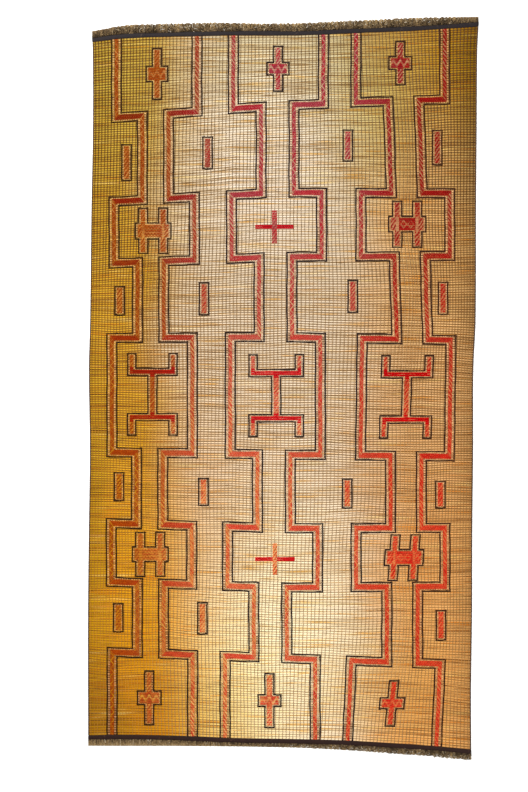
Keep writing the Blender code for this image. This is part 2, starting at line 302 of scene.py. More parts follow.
def smooth_curve(places, values):
    """A smooth curve through a table's points that reads whole arrays."""
    order = np.argsort(places)
    places = np.asarray(places, float)[order]
    values = np.asarray(values, float)[order]
    slopes = np.empty(len(places))
    slopes[1:-1] = (values[2:] - values[:-2]) / (places[2:] - places[:-2])
    slopes[0] = (values[1] - values[0]) / (places[1] - places[0])
    slopes[-1] = (values[-1] - values[-2]) / (places[-1] - places[-2])

    def read(at):
        at = np.asarray(at, float)
        i = np.clip(np.searchsorted(places, at, side="right") - 1, 0, len(places) - 2)
        span = places[i + 1] - places[i]
        t = (at - places[i]) / span
        between = (
            (2 * t**3 - 3 * t**2 + 1) * values[i]
            + (t**3 - 2 * t**2 + t) * span * slopes[i]
            + (3 * t**2 - 2 * t**3) * values[i + 1]
            + (t**3 - t**2) * span * slopes[i + 1]
        )
        before = values[0] + slopes[0] * (at - places[0])
        after = values[-1] + slopes[-1] * (at - places[-1])
        return np.where(at < places[0], before, np.where(at > places[-1], after, between))

    return read


def table_curve(rows, column):
    """A smooth curve through one column of a table, over its first."""
    return smooth_curve([row[0] for row in rows], [row[column] for row in rows])


LEFT_EDGE = table_curve(SIDES, 1)
RIGHT_EDGE = table_curve(SIDES, 2)
TOP_Y = table_curve(TOP_END, 1)
TOP_DEPTH = table_curve(TOP_END, 2)
BOTTOM_Y = table_curve(BOTTOM_END, 1)
BOTTOM_DEPTH = table_curve(BOTTOM_END, 2)


def side_x(side, y, inset):
    """Where a long edge lies. side is -1 at the left and 1 at the right."""
    return (LEFT_EDGE(y) if side < 0 else RIGHT_EDGE(y)) - side * inset


def end_y(end, x, inset):
    """Where the weave ends. end is 1 at the top and -1 at the bottom; a negative inset is outside."""
    return (TOP_Y(x) if end > 0 else BOTTOM_Y(x)) - end * inset


def corner(side, end, side_inset, end_inset):
    """Where a line along a long edge meets a line along an end."""
    y = end * HALF_BOX_LENGTH
    for _ in range(4):
        x = side_x(side, y, side_inset)
        y = end_y(end, x, end_inset)
    return float(x), float(y)


def end_places(end, end_inset, count):
    """Places along an end, from its left corner to its right corner."""
    left, right = (corner(side, end, 0, end_inset)[0] for side in (-1, 1))
    return np.linspace(left, right, count)


# The weave: lines of reeds follow the ends and the ornament's steps, and thongs follow its columns


def level_curves():
    """Curves across the mat from the bottom end to the top end, which the reeds lie along."""
    columns = [column[0] for column in COLUMNS]
    curves = [BOTTOM_Y]
    for row in reversed(STEP_LEVELS):
        curves.append(smooth_curve(columns, row))
    curves.append(TOP_Y)
    return curves


LEVELS = level_curves()
LEVEL_SHARES = np.array([float(level(COLUMNS[1][0])) for level in LEVELS])
LEVEL_SHARES = (LEVEL_SHARES - LEVEL_SHARES[0]) / (LEVEL_SHARES[-1] - LEVEL_SHARES[0])


def column_curves():
    """Lines down the mat from the left edge to the right edge, which the thongs lie along."""
    bounds = [TOP_END[5][1]] + [row[1] for row in STEP_LEVELS] + [BOTTOM_END[4][1]]
    middles = [(high + low) / 2 for high, low in zip(bounds, bounds[1:])]
    curves = [lambda y: side_x(-1, y, BINDING_WIDTH)]
    for column in range(len(COLUMNS)):
        curves.append(smooth_curve(middles, [row[column] for row in SECTION_CENTRES]))
    curves.append(lambda y: side_x(1, y, BINDING_WIDTH))
    return curves


DOWN_LINES = column_curves()
THONGS = sum(THONG_COUNTS)
DOWN_SHARES = np.concatenate([[0], np.cumsum(THONG_COUNTS)]) / THONGS


def ripple(x, y):
    """How far hand-laid reeds stray up and down from their even lines."""
    return (
        3.0 * np.sin(0.011 * x + 0.004 * y)
        + 2.2 * np.sin(0.018 * x - 0.008 * y + 2)
        + 1.3 * np.sin(0.027 * x + 0.011 * y + 4)
    )


def read_between(curves, shares, at, share):
    """A value between neighbouring curves, for a share of the way over all of them."""
    at, share = np.broadcast_arrays(np.asarray(at, float), np.asarray(share, float))
    i = np.clip(np.searchsorted(shares, share, side="right") - 1, 0, len(curves) - 2)
    values = np.stack([curve(at) for curve in curves])
    low = np.take_along_axis(values, i[None], 0)[0]
    high = np.take_along_axis(values, i[None] + 1, 0)[0]
    t = (share - shares[i]) / (shares[i + 1] - shares[i])
    return low + (high - low) * t


def weave_y(x, share):
    """Height on the mat of a reed that lies at a share of the way from the bottom to the top."""
    even = read_between(LEVELS, LEVEL_SHARES, x, share)
    return even + ripple(x, even) * np.clip(14 * share * (1 - share), 0, 1)


def weave_x(y, share):
    """Place across the mat of a thong that lies at a share of the way from left to right."""
    return read_between(DOWN_LINES, DOWN_SHARES, y, share)


def weave_point(across, along):
    """Where a thong meets a reed, from the two shares."""
    y = weave_y(COLUMNS[1][0], along)
    for _ in range(3):
        x = weave_x(y, across)
        y = weave_y(x, along)
    return x, y


# Lines of the ornament


def parallel(points, run_offset, bar_offset, closed=False):
    """The line beside a stepped one, on its left. Runs go along the mat and bars across it."""
    points = np.asarray(points, float)
    after = np.roll(points, -1, axis=0)
    if not closed:
        points, after = points[:-1], after[:-1]
    along = after - points
    along /= np.linalg.norm(along, axis=1)[:, None]
    is_bar = np.abs(along[:, 0]) > np.abs(along[:, 1])
    offset = np.where(is_bar, bar_offset, run_offset)
    shift = np.stack([-along[:, 1], along[:, 0]], 1) * offset[:, None]
    starts = points + shift
    before, before_along = np.roll(starts, 1, axis=0), np.roll(along, 1, axis=0)
    area = before_along[:, 0] * along[:, 1] - before_along[:, 1] * along[:, 0]
    area[area == 0] = 1
    between = starts - before
    share = (between[:, 0] * along[:, 1] - between[:, 1] * along[:, 0]) / area
    crossings = before + before_along * share[:, None]
    if closed:
        return crossings
    return np.vstack([starts[:1], crossings[1:], (after + shift)[-1:]])


def step_level(step, x):
    """The height of a step, on straight lines through its three columns, or of the end past them."""
    if step < 0 or step == len(STEP_LEVELS):
        return float(end_y(1 if step < 0 else -1, x, 0))
    left, middle, right = (column[0] for column in COLUMNS)
    at_left, at_middle, at_right = STEP_LEVELS[step]
    if x < middle:
        return at_left + (at_middle - at_left) * (x - left) / (middle - left)
    return at_middle + (at_right - at_middle) * (x - middle) / (right - middle)


def band_path(column, side):
    """The middle line of a stepped band, from the top end to the bottom end."""
    halves = COLUMNS[column][1:]
    path = []
    for section, row in enumerate(SECTION_CENTRES):
        middle = row[column] + side * halves[section % 2]
        lean = row[3] / 2 if column == 2 else 0
        path.append((middle - lean, step_level(section - 1, middle)))
        path.append((middle + lean, step_level(section, middle)))
    return np.array(path)


def four_way(quarter, x, y, lean):
    """A figure from its upper right quarter, mirrored both ways and leaned."""
    turned = quarter[::-1]
    points = list(quarter)
    points += [(-px, py) for px, py in turned]
    points += [(-px, -py) for px, py in quarter]
    points += [(px, -py) for px, py in turned]
    return np.array([(x + px + lean * py, y + py) for px, py in points])


def figure_quarter(kind, width, height, block):
    """The upper right quarter of a figure's core, from the outer sizes of its outline."""
    run_in = FIGURE_RUN_GAP + LINE_WIDTH / 2
    bar_in = FIGURE_BAR_GAP + LINE_WIDTH / 2
    arm = ARM_HALF - run_in
    if kind == CROSS:
        return [(width - run_in, block - bar_in), (arm, block - bar_in), (arm, height - bar_in)]
    if kind == BARRED:
        outer, inner = ARM_SPREAD + arm, ARM_SPREAD - arm
        return [
            (width - run_in, block - bar_in),
            (outer, block - bar_in),
            (outer, height - bar_in),
            (inner, height - bar_in),
            (inner, block - bar_in),
        ]
    if kind == BRACKET:
        bar_low, bar_high = block + bar_in, block + BRACKET_BAR - bar_in
        prong_in, prong_out = width - BRACKET_PRONG + run_in, width - run_in
        return [
            (arm, bar_low),
            (prong_out, bar_low),
            (prong_out, height - bar_in),
            (prong_in, height - bar_in),
            (prong_in, bar_high),
        ]
    return [(width, PLUS_BAR), (PLUS_ARM, PLUS_BAR), (PLUS_ARM, height)]


def figure_cores():
    """Every figure's and tablet's kind, middle, core outline and half height of its block."""
    cores = []
    for kind, x, y, width, height, block, lean in FIGURES:
        core = four_way(figure_quarter(kind, width, height, block), x, y, lean)
        cores.append((kind, (x, y), core, block))
    for x, y, height in TABLETS:
        width = TABLET_HALF_WIDTH - FIGURE_RUN_GAP - LINE_WIDTH / 2
        quarter = [(width, height - FIGURE_BAR_GAP - LINE_WIDTH / 2)]
        cores.append(("tablet", (x, y), four_way(quarter, x, y, 0), height))
    return cores


BAND_PATHS = [band_path(column, side) for column in range(len(COLUMNS)) for side in (-1, 1)]
CORES = figure_cores()


def inside(points, outline):
    """Which points lie inside a closed outline."""
    x, y = points[:, 0, None], points[:, 1, None]
    x0, y0 = outline[:, 0], outline[:, 1]
    x1, y1 = np.roll(x0, -1), np.roll(y0, -1)
    spans = (y0 > y) != (y1 > y)
    with np.errstate(divide="ignore", invalid="ignore"):
        reach = x0 + (y - y0) / (y1 - y0) * (x1 - x0)
    return (np.sum(spans & (x < reach), axis=1) % 2).astype(bool)


def covered(points):
    """Which points the ornament covers."""
    half = LINE_WIDTH / 2
    hidden = np.zeros(len(points), bool)
    for path in BAND_PATHS:
        one = parallel(path, LINE_RUN_OFFSET + half, LINE_BAR_OFFSET + half)
        other = parallel(path, -LINE_RUN_OFFSET - half, -LINE_BAR_OFFSET - half)
        hidden |= inside(points, np.vstack([one, other[::-1]]))
    for kind, _, core, _ in CORES:
        if kind == PLUS:
            hidden |= inside(points, core)
            continue
        run, bar = -FIGURE_RUN_GAP - half, -FIGURE_BAR_GAP - half
        hidden |= inside(points, parallel(core, run, bar, closed=True))
    return hidden


# Meshes


def new_piece(name, points, faces, material, attributes=None):
    """An object from points in millimetres, riding on the mat."""
    mesh = bpy.data.meshes.new(name)
    mesh.from_pydata(np.asarray(points) * MM, [], faces)
    for label, values in (attributes or {}).items():
        layer = mesh.attributes.new(label, "FLOAT", "POINT")
        layer.data.foreach_set("value", np.asarray(values, np.float32))
    mesh.polygons.foreach_set("use_smooth", [True] * len(mesh.polygons))
    mesh.materials.append(material)
    mesh.update()
    piece = bpy.data.objects.new(name, mesh)
    bpy.context.scene.collection.objects.link(piece)
    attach(piece, "root")
    return piece


# A stitch's points along and across it, as shares of its length and width
STITCH_ALONG = (-0.5, -0.35, -0.35, -0.35, 0.35, 0.35, 0.35, 0.5)
STITCH_ACROSS = (0, -0.5, 0, 0.5, -0.5, 0, 0.5, 0)
STITCH_POINTS = len(STITCH_ALONG)
STITCH_QUADS = np.array([(1, 4, 5, 2), (2, 5, 6, 3), (3, 6, 4, 1)])
STITCH_TRIANGLES = np.array([(0, 1, 2), (0, 2, 3), (0, 3, 1), (7, 5, 4), (7, 6, 5), (7, 4, 6)])


def stitches(middles, along, lengths, widths, tops):
    """Small pads whose two ends dive between the reeds, each one closed body."""
    along = along / np.linalg.norm(along, axis=1)[:, None]
    across = np.stack([-along[:, 1], along[:, 0]], 1)
    count = len(middles)
    heights = (STITCH_END, STITCH_LOW, tops, STITCH_LOW, STITCH_LOW, tops, STITCH_LOW, STITCH_END)
    points = np.empty((count, STITCH_POINTS, 3))
    for i, (forward, sideways, height) in enumerate(zip(STITCH_ALONG, STITCH_ACROSS, heights)):
        flat = middles + along * (lengths * forward)[:, None]
        points[:, i, :2] = flat + across * (widths * sideways)[:, None]
        points[:, i, 2] = height
    first = (np.arange(count) * STITCH_POINTS)[:, None, None]
    quads = (first + STITCH_QUADS).reshape(-1, 4).tolist()
    triangles = (first + STITCH_TRIANGLES).reshape(-1, 3).tolist()
    return points.reshape(-1, 3), quads + triangles


def for_each_point(values):
    """One value a stitch, repeated for the stitch's points."""
    return np.repeat(values, STITCH_POINTS)


def ring_faces(count, steps, sides):
    """Faces of closed tubes that are made of rings of points, with a cap at both ends of each."""
    ring = np.arange(sides)
    after = np.roll(ring, -1)
    first = (np.arange(count) * steps * sides)[:, None, None]
    row = first + (np.arange(steps - 1) * sides)[:, None]
    quads = np.stack([row + ring, row + sides + ring, row + sides + after, row + after], axis=3)
    starts = first[:, 0] + ring
    stops = first[:, 0] + (steps - 1) * sides + ring[::-1]
    return quads.reshape(-1, 4).tolist() + starts.tolist() + stops.tolist()


def tubes(centres, wide, high, sides):
    """Closed tubes along rows of centres. wide and high are the radii across and up."""
    count, steps = centres.shape[:2]
    along = np.gradient(centres, axis=1)
    along /= np.linalg.norm(along, axis=2)[..., None]
    across = np.cross(along, (0, 0, 1.0))
    across /= np.linalg.norm(across, axis=2)[..., None]
    up = np.cross(across, along)
    turns = 2 * math.pi * (np.arange(sides) + 0.5) / sides
    wide = np.broadcast_to(wide, (count, steps))[..., None, None]
    high = np.broadcast_to(high, (count, steps))[..., None, None]
    points = (
        centres[:, :, None]
        + across[:, :, None] * np.cos(turns)[:, None] * wide
        + up[:, :, None] * np.sin(turns)[:, None] * high
    )
    return points.reshape(-1, 3), ring_faces(count, steps, sides)


# Materials


class Wire:
    """A number that a material works out at each place, ready for further sums."""

    def __init__(self, shader, socket):
        self.shader = shader
        self.socket = socket

    def __add__(self, other):
        return self.shader.math("ADD", self, other)

    def __sub__(self, other):
        return self.shader.math("SUBTRACT", self, other)

    def __rsub__(self, other):
        return self.shader.math("SUBTRACT", other, self)

    def __mul__(self, other):
        return self.shader.math("MULTIPLY", self, other)

    def __truediv__(self, other):
        return self.shader.math("DIVIDE", self, other)

    def __abs__(self):
        return self.shader.math("ABSOLUTE", self)

    __radd__ = __add__
    __rmul__ = __mul__

    def equal(self, number):
        """1 where this is a whole number, and 0 elsewhere."""
        made = self.shader.node("ShaderNodeMath", operation="COMPARE")
        self.shader.put(made.inputs[0], self)
        made.inputs[1].default_value = number
        made.inputs[2].default_value = 0.4
        return Wire(self.shader, made.outputs[0])

    def step(self, low, high):
        """0 below low, 1 above high, smooth between. low may be the larger one."""
        made = self.shader.node("ShaderNodeMapRange", interpolation_type="SMOOTHSTEP")
        self.shader.put(made.inputs["Value"], self)
        made.inputs["From Min"].default_value = low
        made.inputs["From Max"].default_value = high
        return Wire(self.shader, made.outputs[0])

    def swing(self, strength):
        """A value from 0 to 1 as a push either way, strength wide."""
        return (self - 0.5) * strength

    def wave(self, length):
        """A straight up and down wave from 0 to 1, once every length."""
        return abs(self.shader.math("FRACT", self / length) - 0.5) * 2.0


class Shader:
    """A material's nodes, made one call at a time."""

    def __init__(self, name):
        self.material = bpy.data.materials.new(name)
        self.material.use_nodes = True
        self.tree = self.material.node_tree
        self.surface = self.tree.nodes["Principled BSDF"]
        self.place = self.node("ShaderNodeTexCoord").outputs["Object"]
        axes = self.node("ShaderNodeSeparateXYZ")
        self.put(axes.inputs[0], self.place)
        self.x, self.y = Wire(self, axes.outputs["X"]), Wire(self, axes.outputs["Y"])

    def node(self, kind, **settings):
        """A new node with its settings."""
        made = self.tree.nodes.new(kind)
        for name, value in settings.items():
            setattr(made, name, value)
        return made

    def put(self, socket, value):
        """Feeds an input from another node, or sets it to a number or a colour."""
        if isinstance(value, Wire):
            self.tree.links.new(value.socket, socket)
        elif isinstance(value, bpy.types.NodeSocket):
            self.tree.links.new(value, socket)
        elif isinstance(value, tuple) and len(value) == 3 and socket.type == "RGBA":
            socket.default_value = (*value, 1)
        else:
            socket.default_value = value

    def math(self, operation, first, second=0.0):
        made = self.node("ShaderNodeMath", operation=operation)
        self.put(made.inputs[0], first)
        self.put(made.inputs[1], second)
        return Wire(self, made.outputs[0])

    def attribute(self, name):
        return Wire(self, self.node("ShaderNodeAttribute", attribute_name=name).outputs["Fac"])

    def noise(self, stretch, detail=2.0, roughness=0.5, offset=0.0):
        """Noise with its own number of waves a metre along X, Y and Z, from 0 to 1."""
        mapping = self.node("ShaderNodeMapping")
        self.put(mapping.inputs["Vector"], self.place)
        mapping.inputs["Scale"].default_value = stretch
        mapping.inputs["Location"].default_value = (offset, offset, offset)
        made = self.node("ShaderNodeTexNoise")
        self.put(made.inputs["Vector"], mapping.outputs[0])
        made.inputs["Scale"].default_value = 1.0
        made.inputs["Detail"].default_value = detail
        made.inputs["Roughness"].default_value = roughness
        return Wire(self, made.outputs["Fac"])

    def near(self, x, y, reach, weight=1.0):
        """1 at a place and 0 beyond a reach from it, in metres. weight is for distance along the mat."""
        across, along = self.x - x, (self.y - y) * weight
        return self.math("SQRT", across * across + along * along).step(reach, 0.0)

    def ramp(self, value, stops):
        made = self.node("ShaderNodeValToRGB")
        self.put(made.inputs[0], value)
        points = made.color_ramp.elements
        while len(points) < len(stops):
            points.new(0.5)
        for point, (place, shade) in zip(points, stops):
            point.position = place
            point.color = (*shade, 1)
        return made.outputs[0]

    def mix(self, share, first, second, blend="MIX"):
        made = self.node("ShaderNodeMix", data_type="RGBA", blend_type=blend)
        self.put(made.inputs["Factor"], share)
        self.put(made.inputs[6], first)
        self.put(made.inputs[7], second)
        return made.outputs[2]

    def lay(self, tint, *layers, blend="MIX"):
        """A colour with others laid over it in turn, each by its share."""
        for share, shade in layers:
            tint = self.mix(share, tint, shade, blend)
        return tint

    def stain(self, tint, *layers):
        """A colour darkened by others in turn, each by its share."""
        return self.lay(tint, *layers, blend="MULTIPLY")

    def bump(self, height, distance, strength=1.0):
        made = self.node("ShaderNodeBump")
        made.inputs["Strength"].default_value = strength
        made.inputs["Distance"].default_value = distance
        self.put(made.inputs["Height"], height)
        self.put(self.surface.inputs["Normal"], made.outputs[0])

    def finish(self, tint, roughness, specular):
        self.put(self.surface.inputs["Base Color"], tint)
        self.put(self.surface.inputs["Roughness"], roughness)
        self.surface.inputs["Specular IOR Level"].default_value = specular
        return self.material


def colour(red, green, blue):
    """A screen colour from 0 to 255, as the linear light that shaders take."""
    shares = [value / 255 for value in (red, green, blue)]
    return tuple(s / 12.92 if s <= 0.04045 else ((s + 0.055) / 1.055) ** 2.4 for s in shares)


GOLD = colour(230, 178, 44)
DEEP_GOLD = colour(226, 160, 0)
STRAW = colour(250, 231, 204)
LEMON = colour(252, 234, 140)
HONEY = colour(250, 198, 128)
CREAM = colour(255, 244, 206)
OLIVE = colour(234, 198, 76)
AMBER = colour(244, 184, 26)
# painted shade that darkens the top of the mat
PAINTED_TOP_SHADE = colour(211, 214, 213)
ASH = colour(252, 242, 230)
# painted shade seen between the reed bundles
PAINTED_GAP_SHADE = colour(84, 60, 26)
REED_FIBRE = colour(170, 130, 80)

# The reeds' shade, from dark to light: their own tone and streaks, with painted light and shade over the mat
# and around the thongs
REED_SHADES = (
    (0.0, colour(112, 84, 50)),
    (0.25, colour(172, 146, 112)),
    (0.6, colour(232, 224, 208)),
    (1.0, colour(255, 255, 255)),
)

# The fringe's shade, from dark roots to dry pale ends
FRINGE_SHADES = (
    (0.0, colour(30, 22, 12)),
    (0.35, colour(86, 69, 48)),
    (0.6, colour(134, 109, 70)),
    (0.8, colour(172, 156, 128)),
    (1.0, colour(212, 206, 194)),
)


def reed_drift_and_light(shader):
    """The mat's slow drift of colour, partly its own and partly painted light and shade: gold at the left,
    straw in the middle, honey at the right, with pale patches and painted shade towards the top and in
    patches elsewhere.
    """
    x, y = shader.x, shader.y
    across = x + y * 0.03 + shader.noise((1.6, 2.6, 1), 2).swing(0.4)
    # a pale patch of painted light at the middle of the top, where the painted shade at the top is weaker
    pale = shader.near(-0.08, 1.35, 0.6, 0.6)
    tint = shader.lay(
        STRAW,
        (across.step(-0.4, -0.72), GOLD),
        (across.step(0.22, 0.62), HONEY),
        (shader.near(-0.8, -1.4, 1.15, 0.6), DEEP_GOLD),
        (shader.near(-0.75, 1.5, 0.6, 0.7), OLIVE),
        (shader.near(0.85, 1.6, 0.6), AMBER),
        (shader.near(-0.02, -1.2, 0.62, 0.6), CREAM),
        (shader.near(0.58, -0.1, 0.55, 0.65) * 0.28, STRAW),
        (shader.near(0.4, 1.35, 0.42, 0.7) * 0.6, LEMON),
        (pale, ASH),
    )
    return shader.stain(
        tint,
        # painted shade towards the top, along the long edges and in patches over the lower half, which also
        # shifts the hue a little
        ((1.0 - pale * 0.8) * y.step(-1.1, 1.7), PAINTED_TOP_SHADE),
        (y.step(0.9, 1.8) * across.step(-0.5, -0.15), colour(230, 230, 206)),
        (across.step(0.1, 0.5) * y.step(0.4, -0.6), colour(240, 230, 218)),
        (abs(x).step(0.74, 0.86) * y.step(0.2, 1.5), colour(242, 243, 228)),
        (across.step(-0.8, -0.9) * y.step(0.6, -0.6), colour(232, 242, 210)),
        (shader.near(-0.85, -1.7, 0.75), colour(218, 208, 116)),
        (shader.near(0.55, -1.45, 0.5), colour(244, 238, 206)),
        (shader.near(-0.5, -1.85, 0.7, 0.6), colour(255, 252, 180)),
    )


def reed_fibres(shader):
    """Fine fibres along a reed."""
    fibres = shader.noise((60, 3200, 600), 3)
    shader.bump(fibres, 0.0003)
    return fibres


def reed_material():
    """Reeds with streaks of darker and lighter colour, with painted highlight between the thongs and painted
    shade beside them where the weave is firm, and painted shade on the lowest reed of each bundle.
    """
    shader = Shader("reed")
    y = shader.y
    firm = 1.0 - y.step(0.3, 0.9) * abs(shader.x).step(0.8, 0.45) * 0.85
    # strength of the painted highlight and shade around the thongs, stronger towards the top
    cell_light_and_shade = (y.step(-0.9, 1.2) * 0.5 + 0.2) * firm
    cell = (shader.attribute("across") * THONGS).wave(1.0)
    level = (
        0.66
        + shader.attribute("tone").swing(0.7)
        + shader.noise((5, 170, 1), 3, 0.6).swing(1.6)
        + shader.noise((3, 20, 1), 3, 0.6, 9.0).swing(0.5)
        # painted highlight in the middle of each cell between thongs, painted shade beside the thongs
        + cell.swing(1.0) * cell_light_and_shade
        # painted light: brighter over the lower middle and the middle of the mat
        + shader.near(0.0, -1.3, 1.3, 0.7) * 0.3
        + shader.near(0.1, 0.5, 0.7, 0.8) * 0.22
    )
    warm = shader.noise((4, 100, 1), 2, 0.6, 21.0).step(0.52, 0.7)
    fresh = shader.noise((3, 44, 1), 3, 0.6, 27.0).step(0.55, 0.75)
    # painted shade on the lowest reed of each bundle, fading out towards the bottom of the mat
    bundle_shade = shader.attribute("edge") * y.step(-1.3, -0.2) * firm
    dashes = shader.noise((16, 230, 1), 1, 0.5, 33.0).step(0.66, 0.74)
    fibres = reed_fibres(shader)
    tint = shader.stain(
        reed_drift_and_light(shader),
        (1.0, shader.ramp(level, REED_SHADES)),
        (warm, colour(248, 212, 142)),
    )
    tint = shader.lay(tint, (fresh * 0.38, colour(250, 222, 132)))
    tint = shader.stain(
        tint,
        (bundle_shade * 0.8, colour(150, 132, 118)),
        (dashes * 0.6, colour(120, 90, 60)),
        (fibres * 0.3, REED_FIBRE),
    )
    return shader.finish(tint, fibres * 0.25 + 0.5, 0.1)


def margin_material():
    """Paler reeds, with painted shade where their ends dip."""
    shader = Shader("reed_margin")
    tone = shader.mix(shader.attribute("tone"), colour(238, 226, 212), colour(176, 156, 136))
    # painted shade where the ends of each stitch dip between the reeds
    ends = abs(shader.attribute("place")).step(0.16, 0.4)
    tint = shader.stain(
        shader.lay(reed_drift_and_light(shader), (0.35, colour(240, 200, 176))),
        (1.0, tone),
        (ends * 0.8, colour(140, 112, 88)),
        (reed_fibres(shader) * 0.4, REED_FIBRE),
    )
    return shader.finish(tint, 0.65, 0.1)


def gap_shade_material():
    """Painted shade between the bundles, dark brown with a lighter mottle."""
    shader = Shader("reed_bed_shade")
    fibres = shader.noise((40, 900, 300), 3)
    shader.bump(fibres, 0.0004)
    return shader.finish(shader.mix(fibres, PAINTED_GAP_SHADE, colour(120, 88, 40)), 0.85, 0.1)


def lace_grain(shader):
    """The fine grain of a thong or lace."""
    grain = shader.noise((900, 500, 900), 3)
    shader.bump(grain, 0.0003)
    return grain


def thong_material():
    """Dark thongs that have faded to tan towards the bottom of the mat."""
    shader = Shader("thong")
    x, y = shader.x, shader.y
    left = x.step(-0.35, -0.65) * y.step(0.2, -0.8)
    patches = shader.noise((5, 8, 1), 3, 0.6, 12.0).step(0.42, 0.7) * y.step(1.3, 0.5)
    faded = y.step(1.0, -0.1) * 0.42 + left * 0.2 + patches * 0.36
    tan = shader.lay(
        colour(190, 130, 40),
        (x.step(-0.7, -0.3), colour(190, 156, 118)),
        (x.step(0.25, 0.7), colour(192, 142, 84)),
    )
    tint = shader.lay(
        colour(80, 56, 14),
        (x.step(-0.9, -0.2), colour(108, 90, 66)),
        (x.step(0.5, 0.95), colour(84, 52, 26)),
        (shader.attribute("tone") * 0.5, colour(44, 30, 20)),
        (lace_grain(shader) * 0.25, colour(150, 110, 60)),
        (faded, tan),
    )
    return shader.finish(tint, 0.65, 0.06)


def lace_flecks(shader):
    """Where paler laces make a pattern in the red, in millimetres along and across the lacing."""
    along, across = shader.attribute("along"), shader.attribute("across")
    pattern = shader.attribute("pattern")
    stray = shader.noise((22, 22, 22), 2, 0.5, 15.0).swing(26.0)
    ring = abs(abs(across) - 17.0) / 15.0 + abs(along) / 20.0
    shapes = (
        (ZIGZAG, abs(across - along.wave(38.0).swing(17.0)).step(3.6, 1.8)),
        (DIAGONAL, (along + stray - across * 1.4).wave(23.0).step(0.52, 0.3)),
        (CHEVRONS, (along + across.wave(15.0).swing(9.0)).wave(17.0).step(0.42, 0.24)),
        (DIAMONDS, abs(ring - 0.9).step(0.2, 0.1)),
        (WAVES, abs(along - across.wave(34.0).swing(26.0)).step(8.5, 6.0)),
        (PALE, 1.3),
    )
    flecks = sum(shape * pattern.equal(number) for number, shape in shapes)
    wear = shader.noise((40, 40, 40), 2, 0.5, 7.0).step(0.3, 0.6) * 0.75 + 0.25
    return shader.math("MINIMUM", flecks * wear, 1.0)


def red_material():
    """Red laces: rust at the left, crimson in the middle, deep red at the right, faded at the bottom."""
    shader = Shader("red_lace")
    across = shader.x + shader.y * -0.06
    middle, right = across.step(-0.75, -0.2), across.step(0.15, 0.6)
    low = shader.y.step(1.2, -0.8)

    def blend(upper, lower):
        """Colours at the left, middle and right, for the top and for the bottom of the mat."""
        ends = [shader.lay(row[0], (middle, row[1]), (right, row[2])) for row in (upper, lower)]
        return shader.mix(low, *ends)

    plain = blend(
        (colour(120, 36, 4), colour(152, 50, 62), colour(132, 20, 14)),
        (colour(158, 62, 0), colour(210, 98, 60), colour(204, 60, 34)),
    )
    bold = blend(
        (colour(124, 16, 0), colour(170, 12, 28), colour(146, 0, 4)),
        (colour(150, 34, 0), colour(200, 22, 26), colour(200, 0, 4)),
    )
    washed = blend(
        (colour(176, 120, 60), colour(176, 142, 116), colour(166, 122, 84)),
        (colour(184, 126, 10), colour(220, 172, 104), colour(206, 120, 66)),
    )
    pattern = shader.attribute("pattern")
    bars = pattern.equal(BOLD)
    laced = pattern.step(0.2, 0.8) - bars
    orange = (1.0 - middle) * laced
    faded = shader.near(-0.32, -1.0, 0.6, 0.5) * laced
    spots = shader.noise((36, 30, 36), 2, 0.5, 51.0).step(0.46, 0.58) * (laced - orange * 0.5)
    vivid = shader.noise((2.4, 3.4, 1), 2, 0.5, 8.0).step(0.42, 0.6) * (1.0 - laced)
    rub = shader.noise((9, 6, 1), 3, 0.6, 3.0).step(0.38, 0.6) * 0.55 + 0.36
    tint = shader.lay(
        plain,
        (orange * 0.6, colour(156, 80, 10)),
        (faded * 0.55, colour(222, 140, 64)),
        (spots * 0.6, bold),
        (shader.math("MAXIMUM", vivid * 0.5, bars), bold),
        (shader.attribute("tone") * 0.4, colour(84, 8, 4)),
        (lace_flecks(shader) * rub, washed),
    )
    return shader.finish(tint, lace_grain(shader) * 0.2 + 0.5, 0.05)


def black_material():
    """Black laces, browner towards both long edges."""
    shader = Shader("black_lace")
    tint = shader.lay(
        colour(34, 24, 26),
        (shader.x.step(-0.1, -0.8), colour(50, 28, 4)),
        (shader.x.step(0.3, 0.8), colour(56, 26, 12)),
        (shader.attribute("tone") * 0.6, colour(18, 13, 12)),
        (lace_grain(shader) * 0.15, colour(74, 50, 36)),
    )
    return shader.finish(tint, 0.65, 0.04)


def leather_material(name, low, high, worn):
    """Creased leather between two colours, with a third where it is rubbed."""
    shader = Shader(name)
    cloud = shader.noise((14, 14, 14), 4, 0.6)
    rubbed = shader.noise((60, 34, 40), 4, 0.65, 5.0).step(0.6, 0.74)
    grain = shader.node("ShaderNodeTexVoronoi", feature="DISTANCE_TO_EDGE")
    shader.put(grain.inputs["Vector"], shader.place)
    grain.inputs["Scale"].default_value = 620.0
    creases = shader.noise((260, 40, 60), 3)
    shader.bump(Wire(shader, grain.outputs["Distance"]) + creases * 0.8, 0.0006, 0.8)
    return shader.finish(shader.lay(low, (cloud, high), (rubbed * 0.6, worn)), cloud * 0.2 + 0.5, 0.12)


def fringe_material():
    """Frayed leather, from the tone that each strand or tuft carries."""
    shader = Shader("fringe")
    tone = shader.attribute("tone") + shader.noise((170, 170, 120), 4, 0.65).swing(0.9)
    shader.bump(shader.noise((420, 420, 420), 3), 0.0008)
    return shader.finish(shader.ramp(tone, FRINGE_SHADES), 0.85, 0.1)


def floor_material():
    """An almost white floor with a faint cloud in it."""
    shader = Shader("floor")
    tint = shader.mix(shader.noise((6, 6, 6), 2), colour(246, 246, 245), colour(250, 250, 249))
    return shader.finish(tint, 0.8, 0.1)


# Pieces


